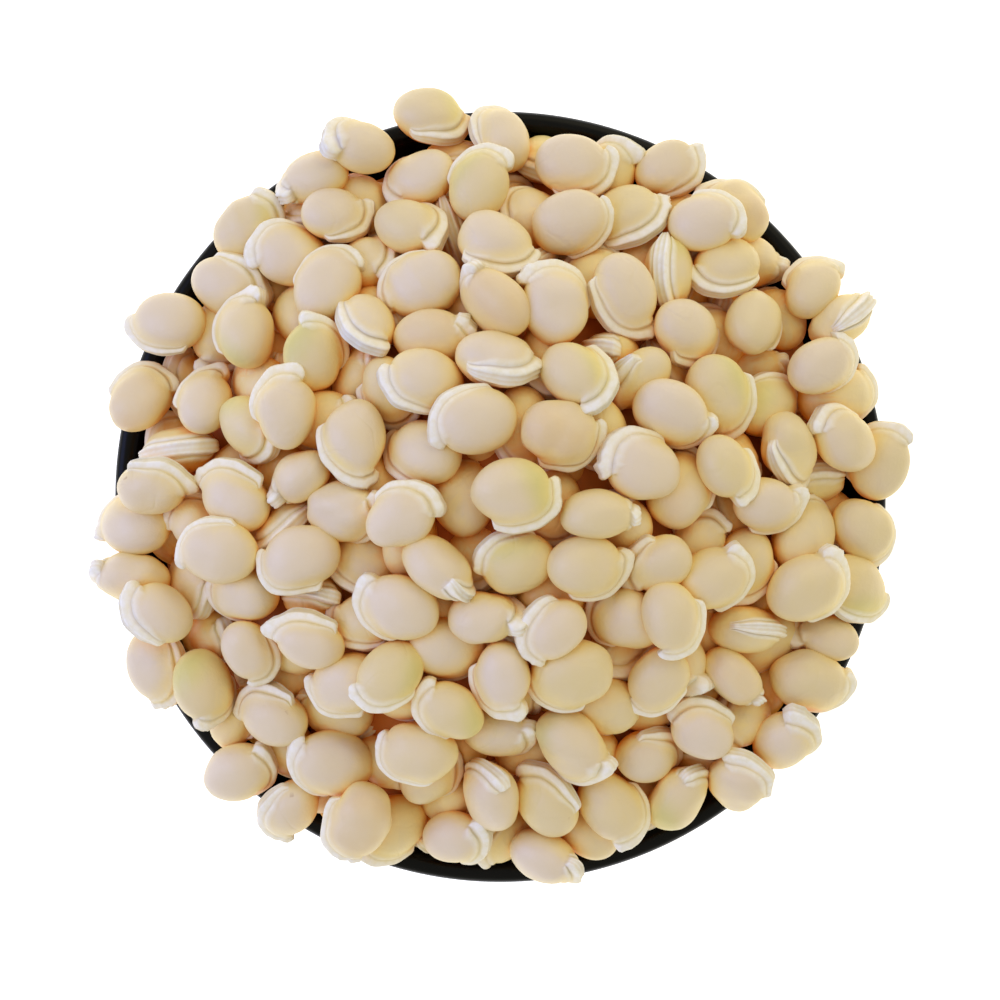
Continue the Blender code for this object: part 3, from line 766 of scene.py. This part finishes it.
def add_piece(name, mesh, material):
    """A visible piece of the part, from its mesh."""
    mesh.materials.append(material)
    piece = bpy.data.objects.new(name, mesh)
    bpy.context.scene.collection.objects.link(piece)
    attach(piece, "root")
    return piece


def bean_piece(name, beans, draw, material, heap, detail=FINE):
    """All the beans of one kind as one mesh, with what the material reads at each point."""
    quads, caps, count = bean_faces(detail)
    points, marks, local, all_quads, all_caps, tones = [], [], [], [], [], []
    for index, (x, y, z, spin, size) in enumerate(beans):
        shape = BeanShape(size, spin, draw)
        own, crest, dot, green = bean_points(shape, detail)
        points.append((own * MM) @ spin.T + np.array([x, y, z]))
        marks.append(np.stack([crest, green, dot / DOT_RANGE, np.ones(count)], -1))
        local.append(own + shape.offset)
        tones.append(np.full(count, shape.tone))
        all_quads.append(quads + index * count)
        all_caps.append(caps + index * count)
    points = np.concatenate(points)
    mesh = mesh_from_arrays(name, points, np.concatenate(all_quads), np.concatenate(all_caps))
    normals = np.zeros(len(mesh.vertices) * 3, np.float32)
    mesh.vertex_normals.foreach_get("vector", normals)
    add_numbers(mesh, "mark", "FLOAT_COLOR", "color", np.concatenate(marks))
    add_numbers(mesh, "own", "FLOAT_VECTOR", "vector", np.concatenate(local))
    add_numbers(mesh, "tone", "FLOAT", "value", np.concatenate(tones))
    # painted shade: how far each point lies hidden between the beans or faces down
    add_numbers(mesh, "shade", "FLOAT", "value", painted_shade_at(points, normals.reshape(-1, 3), heap))
    return add_piece(name, mesh, material)


# Materials

class Nodes:
    """Short calls for building one material's nodes."""

    def __init__(self, name):
        self.material = bpy.data.materials.new(name)
        self.material.use_nodes = True
        self.tree = self.material.node_tree
        self.shader = self.tree.nodes["Principled BSDF"]

    def add(self, kind, **values):
        node = self.tree.nodes.new(kind)
        for key, value in values.items():
            setattr(node, key, value)
        return node

    def link(self, source, target):
        self.tree.links.new(source, target)

    def attribute(self, name):
        """The numbers that a mesh holds under a name."""
        return self.add("ShaderNodeAttribute", attribute_type="GEOMETRY", attribute_name=name)

    def noise(self, where, scale, detail=2.0):
        """Smooth noise at a place, from 0 to 1."""
        node = self.add("ShaderNodeTexNoise")
        self.link(where, node.inputs["Vector"])
        node.inputs["Scale"].default_value = scale
        node.inputs["Detail"].default_value = detail
        return node.outputs["Fac"]

    def span(self, value, low, high, to_low=0.0, to_high=1.0):
        """A value's range from low to high, moved to another range and clamped."""
        node = self.add("ShaderNodeMapRange", clamp=True)
        self.link(value, node.inputs["Value"])
        for key, number in (("From Min", low), ("From Max", high), ("To Min", to_low), ("To Max", to_high)):
            node.inputs[key].default_value = number
        return node.outputs["Result"]

    def maths(self, operation, first, second):
        """A sum, product or the like of two values, each a socket or a number."""
        node = self.add("ShaderNodeMath", operation=operation)
        for socket, value in zip(node.inputs, (first, second)):
            if isinstance(value, (int, float)):
                socket.default_value = value
            else:
                self.link(value, socket)
        return node.outputs["Value"]

    def mix(self, factor, first, second):
        """A colour between two, each a socket or a colour."""
        node = self.add("ShaderNodeMix", data_type="RGBA")
        for socket, value in zip((node.inputs[0], node.inputs[6], node.inputs[7]), (factor, first, second)):
            if isinstance(value, (int, float, tuple)):
                socket.default_value = value
            else:
                self.link(value, socket)
        return node.outputs[2]

    def feed(self, key, source):
        """The shader takes one of its inputs from a socket."""
        self.link(source, self.shader.inputs[key])

    def bump(self, height, strength, distance):
        """The shader's relief, from a height."""
        node = self.add("ShaderNodeBump")
        node.inputs["Strength"].default_value = strength
        node.inputs["Distance"].default_value = distance
        self.link(height, node.inputs["Height"])
        self.feed("Normal", node.outputs["Normal"])

    def set(self, **values):
        """Values of the shader that are the same all over."""
        for key, value in values.items():
            self.shader.inputs[key.replace("_", " ")].default_value = value


PALE = (0.785, 0.658, 0.535, 1)
IVORY = (0.775, 0.632, 0.445, 1)
CREAM = (0.765, 0.62, 0.345, 1)
PEACH = (0.77, 0.565, 0.32, 1)
GREEN = (0.66, 0.58, 0.19, 1)
CREST_WHITE = (0.93, 0.89, 0.85, 1)
CREST_SHADE = (0.89, 0.83, 0.71, 1)
BROWN = (0.30, 0.13, 0.04, 1)
# Painted shade: gold in half shade and deep amber in the deepest gaps between the beans
PAINTED_SHADE_GOLD = (0.94, 0.75, 0.30, 1)
PAINTED_SHADE_AMBER = (0.95, 0.38, 0.012, 1)
GLAZE_COLOURS = (0.002, 0.002, 0.002, 1), (0.004, 0.0036, 0.0035, 1)
# Painted shade: the core is dark amber, the colour of the deep gaps between the beans
CORE_SHADE_COLOURS = (0.50, 0.12, 0.006, 1), (0.62, 0.18, 0.015, 1)
FLOOR_COLOURS = (0.93, 0.93, 0.93, 1), (0.95, 0.95, 0.95, 1)

# Each kind of bean: its two coat colours and how green its end is
SEED_COATS = {
    "ivory_beans": (PALE, IVORY, 0.0),
    "pale_beans": (PALE, IVORY, 0.0),
    "cream_beans": (IVORY, CREAM, 0.0),
    "greenish_beans": (IVORY, CREAM, 0.85),
    "orange_beans": (IVORY, PEACH, 0.0),
}

# Scales of a bean's patterns, per mm
MOTTLE_SCALE = 0.16
CHALK_SCALE = 0.9
GLOSS_SCALE = 1.1
GRAIN_SCALE = 2.0
DENT_SCALE = 0.45
CREASE_SCALE = 0.13

# How much of a coat's colour comes from its mottling and how much from the bean's own tone
MOTTLE_WEIGHT = 0.45
TONE_WEIGHT = 0.55

# Relief: dents and creases against the grain, the bump's strength and its depth
DENT_WEIGHT = 2.5
CREASE_WEIGHT = 1.2
CREASE_WIDTH = 0.035
RELIEF_STRENGTH = 0.3
RELIEF_DEPTH = 0.14 * MM
CREST_ROUGHER = 0.16

# Painted shade: colours painted into the coat where the heap hides the sky, from which shade to which
# each grows, and how strong at most. The chalky crest takes this share of them.
SHADE_STEPS = ((PAINTED_SHADE_GOLD, 0.12, 0.5, 0.85), (PAINTED_SHADE_AMBER, 0.48, 0.84, 0.95))
SHADE_ON_CREST = 0.4

# The dot's darkest middle and its edge as shares of its range, its strength, and which beans have
# one or a crease by their tone
DOT_EDGE = (0.03, 0.06)
DOT_STRENGTH = 0.65
DOTTED_TONES = (0.72, 0.8)
CREASED_TONES = (0.7, 0.85)


def coat_colour(nodes, marks, own, tone, coats):
    """Mottled ivory, a green end on some, a chalky crest, painted golden and amber shade and a brown dot on
    some.
    """
    crest, green, dot = marks
    light, deep, green_share = coats
    mottle = nodes.span(nodes.noise(own, MOTTLE_SCALE, 3), 0.35, 0.65)
    blend = nodes.maths("ADD", nodes.maths("MULTIPLY", mottle, MOTTLE_WEIGHT),
                        nodes.maths("MULTIPLY", tone, TONE_WEIGHT))
    body = nodes.mix(blend, light, deep)
    body = nodes.mix(nodes.maths("MULTIPLY", green, green_share), body, GREEN)
    chalk = nodes.span(nodes.noise(own, CHALK_SCALE, 2), 0.4, 0.62)
    coat = nodes.mix(crest, body, nodes.mix(chalk, CREST_WHITE, CREST_SHADE))
    # painted shade: gold and amber mixed into the coat by how hidden each point is
    shade = nodes.attribute("shade").outputs["Fac"]
    share = nodes.span(crest, 0, 1, 1, SHADE_ON_CREST)
    for colour, low, high, most in SHADE_STEPS:
        depth = nodes.maths("MULTIPLY", nodes.span(shade, low, high, 0.0, most), share)
        coat = nodes.mix(depth, coat, colour)
    spot = nodes.span(dot, *DOT_EDGE, DOT_STRENGTH, 0.0)
    return nodes.mix(nodes.maths("MULTIPLY", spot, nodes.span(tone, *DOTTED_TONES)), coat, BROWN)


def coat_relief(nodes, own, tone):
    """Fine grain, shallow dents and, on some beans, a soft crease."""
    bend = nodes.maths("SUBTRACT", nodes.noise(own, CREASE_SCALE, 1), 0.5)
    crease = nodes.span(nodes.maths("ABSOLUTE", bend, 0.0), 0.0, CREASE_WIDTH, 1.0, 0.0)
    crease = nodes.maths("MULTIPLY", crease, nodes.span(tone, *CREASED_TONES))
    dents = nodes.maths("MULTIPLY", nodes.noise(own, DENT_SCALE, 2), DENT_WEIGHT)
    relief = nodes.maths("ADD", nodes.noise(own, GRAIN_SCALE, 3), dents)
    return nodes.maths("SUBTRACT", relief, nodes.maths("MULTIPLY", crease, CREASE_WEIGHT))


def bean_material(name, coats):
    """A smooth, dry seed coat that is duller on the crest."""
    nodes = Nodes(name)
    mark = nodes.add("ShaderNodeSeparateColor")
    nodes.link(nodes.attribute("mark").outputs["Color"], mark.inputs["Color"])
    marks = [mark.outputs[i] for i in range(3)]
    own = nodes.attribute("own").outputs["Vector"]
    tone = nodes.attribute("tone").outputs["Fac"]
    nodes.feed("Base Color", coat_colour(nodes, marks, own, tone, coats))
    gloss = nodes.span(nodes.noise(own, GLOSS_SCALE, 2), 0.3, 0.7, 0.40, 0.52)
    nodes.feed("Roughness", nodes.maths("ADD", gloss, nodes.maths("MULTIPLY", marks[0], CREST_ROUGHER)))
    nodes.bump(coat_relief(nodes, own, tone), RELIEF_STRENGTH, RELIEF_DEPTH)
    nodes.set(Sheen_Weight=0.06, Sheen_Roughness=0.4)
    return nodes.material


def dish_material():
    """Glossy black glaze with faint unevenness."""
    nodes = Nodes("black_glaze")
    where = nodes.add("ShaderNodeTexCoord").outputs["Object"]
    wear = nodes.noise(where, 90, 4)
    nodes.feed("Base Color", nodes.mix(nodes.span(wear, 0.3, 0.7), *GLAZE_COLOURS))
    nodes.feed("Roughness", nodes.span(wear, 0.3, 0.7, 0.26, 0.36))
    nodes.bump(nodes.noise(where, 260, 2), 0.15, 0.2 * MM)
    nodes.set(Specular_IOR_Level=0.12)
    return nodes.material


def core_material():
    """Painted shade: the core, which stands for the beans far down, is coloured as the dark amber shade
    between them.
    """
    nodes = Nodes("deep_beans")
    where = nodes.add("ShaderNodeTexCoord").outputs["Object"]
    nodes.feed("Base Color", nodes.mix(nodes.span(nodes.noise(where, 140, 3), 0.35, 0.65), *CORE_SHADE_COLOURS))
    nodes.feed("Roughness", nodes.span(nodes.noise(where, 300, 2), 0.3, 0.7, 0.55, 0.8))
    return nodes.material


def floor_material():
    """A plain pale floor that gives off a little light, so that it comes out white."""
    nodes = Nodes("pale_floor")
    where = nodes.add("ShaderNodeTexCoord").outputs["Object"]
    nodes.feed("Base Color", nodes.mix(nodes.noise(where, 6, 2), *FLOOR_COLOURS))
    nodes.set(Roughness=0.9, Emission_Color=(1, 1, 1, 1), Emission_Strength=FLOOR_GLOW)
    nodes.material.cycles.emission_sampling = "NONE"
    return nodes.material


# Dish and core

def arc(middle, radii, start, stop, count):
    """Points on an ellipse in the XZ plane, angles in degrees from +X."""
    angles = np.radians(np.linspace(start, stop, count))
    return [(middle[0] + radii[0] * math.cos(a), middle[1] + radii[1] * math.sin(a)) for a in angles]


def dish_profile():
    """From the middle of the inside over the lip and down the outside to the foot."""
    inner_wall = arc((FOOT_RADIUS, SPRING_HEIGHT),
                     (INNER_RADIUS - FOOT_RADIUS, SPRING_HEIGHT - FLOOR_HEIGHT), -90, 0,
                     INSIDE_POINTS)
    lip = arc((RIM_RADIUS - LIP_WIDTH / 2, SPRING_HEIGHT), (LIP_WIDTH / 2, LIP_WIDTH / 2), 180, 0,
              LIP_POINTS)
    outer_wall = arc((FOOT_RADIUS, SPRING_HEIGHT),
                     (RIM_RADIUS - FOOT_RADIUS, SPRING_HEIGHT - FOOT_HEIGHT), 0,
                     OUTSIDE_STOP, OUTSIDE_POINTS)
    foot = arc((FOOT_RADIUS - FOOT_FILLET, FOOT_FILLET), (FOOT_FILLET, FOOT_FILLET), 0, -90,
               FILLET_POINTS)
    return [(0, FLOOR_HEIGHT)] + inner_wall[:-1] + lip + outer_wall[1:] + foot + [(0, 0)]


def turned_mesh(name, profile, steps):
    """A closed surface turned about Z from a profile whose ends lie on the axis."""
    body = np.array(profile[1:-1])
    angle = np.linspace(0, 2 * np.pi, steps, endpoint=False)
    points = np.stack([np.outer(body[:, 0], np.cos(angle)), np.outer(body[:, 0], np.sin(angle)),
                       np.repeat(body[:, 1:], steps, 1)], -1).reshape(-1, 3)
    ends = np.array([[0, 0, profile[0][1]], [0, 0, profile[-1][1]]])
    here = np.arange(steps)
    after = (here + 1) % steps
    quads = np.concatenate([
        np.stack([k * steps + here, (k + 1) * steps + here, (k + 1) * steps + after, k * steps + after], -1)
        for k in range(len(body) - 1)])
    last = (len(body) - 1) * steps
    first_pole, last_pole = len(points), len(points) + 1
    caps = np.concatenate([
        np.stack([np.full(steps, first_pole), here, after], -1),
        np.stack([np.full(steps, last_pole), last + after, last + here], -1)])
    return mesh_from_arrays(name, np.concatenate([points, ends]), quads, caps)


def core_profile():
    """From the middle of the top down the dome, and back to the axis over the dish's wall."""
    radii = np.linspace(0, CORE_RADIUS, CORE_TOP_POINTS)
    top = [(radius, dome(radius) - CORE_DEPTH) for radius in radii]
    wall = arc((FOOT_RADIUS, SPRING_HEIGHT),
               (INNER_RADIUS - FOOT_RADIUS - CORE_GAP, SPRING_HEIGHT - FLOOR_HEIGHT - CORE_GAP),
               CORE_WALL_START, -90, CORE_WALL_POINTS)
    return top + wall + [(0, FLOOR_HEIGHT + CORE_GAP)]


# Sorting the beans into kinds

def is_near(bean, places):
    """Whether a bean lies at one of some places given in mm."""
    return any(math.hypot(bean[0] - x * MM, bean[1] - y * MM) < SAME_PLACE for x, y in places)


def sorted_beans(shown, draw):
    """Beans by kind: the palest mostly on the left, the yellower ones mostly on the right, a painted light
    gradient from the window side.
    """
    kinds = {name: [] for name in SEED_COATS}
    for bean in shown:
        lot = draw.random()
        aside = draw.normal(0, SIDE_STRAY) + bean[0] / RIM_RADIUS
        if is_near(bean, GREENISH_AT) or lot < GREENISH_LOT:
            kinds["greenish_beans"].append(bean)
        elif is_near(bean, ORANGE_AT) or lot < ORANGE_LOT:
            kinds["orange_beans"].append(bean)
        # painted light: beans towards the window on the left get the paler coat
        elif aside < -SIDE_SHARE:
            kinds["pale_beans"].append(bean)
        elif aside < SIDE_SHARE:
            kinds["ivory_beans"].append(bean)
        else:
            kinds["cream_beans"].append(bean)
    return kinds


# Camera, light and floor

def place_camera():
    """A camera that looks straight down on the dish, in the photograph's frame."""
    data = bpy.data.cameras.new("camera")
    data.sensor_width = SENSOR
    data.lens = SENSOR * FOCAL_PIXELS / FRAME_PIXELS
    data.clip_start = 0.01
    camera = bpy.data.objects.new("camera", data)
    camera.location = (CAMERA_ASIDE[0], CAMERA_ASIDE[1], RIM_HEIGHT + CAMERA_RISE)
    bpy.context.scene.collection.objects.link(camera)
    bpy.context.scene.camera = camera


def soft_light(name, place, side, power, colour):
    """A square area light that faces the heap."""
    data = bpy.data.lights.new(name, "AREA")
    data.shape = "SQUARE"
    data.size = side
    data.energy = power
    data.color = colour
    light = bpy.data.objects.new(name, data)
    light.location = place
    away = light.location.copy()
    away.z -= RIM_HEIGHT
    light.rotation_euler = away.to_track_quat("Z", "Y").to_euler()
    bpy.context.scene.collection.objects.link(light)


def place_lights():
    """Plain soft studio light."""
    soft_light("window", WINDOW_PLACE, WINDOW_SIDE, WINDOW_POWER, WINDOW_COLOUR)
    soft_light("fill", WARM_PLACE, WARM_SIDE, WARM_POWER, WARM_COLOUR)
    world = bpy.data.worlds.new("studio")
    bpy.context.scene.world = world
    world.use_nodes = True
    sky = world.node_tree.nodes["Background"]
    sky.inputs["Color"].default_value = SKY_COLOUR
    sky.inputs["Strength"].default_value = SKY_STRENGTH


def place_floor():
    """A plain floor that is far larger than the view."""
    bpy.ops.mesh.primitive_plane_add(size=FLOOR_SIDE, location=(0, 0, 0))
    floor = bpy.context.object
    floor.name = "floor"
    floor.data.materials.append(floor_material())


def main():
    """The beans, the dish and the core, then the studio round them."""
    heap, shown, below = heaped_beans()
    draw = np.random.default_rng(LOOKS_SEED)
    kinds = sorted_beans(shown, draw)
    materials = {name: bean_material(name, coats) for name, coats in SEED_COATS.items()}
    pieces = [bean_piece(name, beans, draw, materials[name], heap) for name, beans in kinds.items()]
    bean_piece("beans_below", below, draw, materials["orange_beans"], heap, PLAIN)
    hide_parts("beans")
    dish = add_piece("dish", turned_mesh("dish", dish_profile(), DISH_STEPS), dish_material())
    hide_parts("bowl")
    core = turned_mesh("heap_core", core_profile(), CORE_STEPS)
    add_piece("heap_core", core, core_material())
    place_camera()
    place_lights()
    place_floor()
    bpy.context.scene.view_settings.view_transform = "Standard"


main()
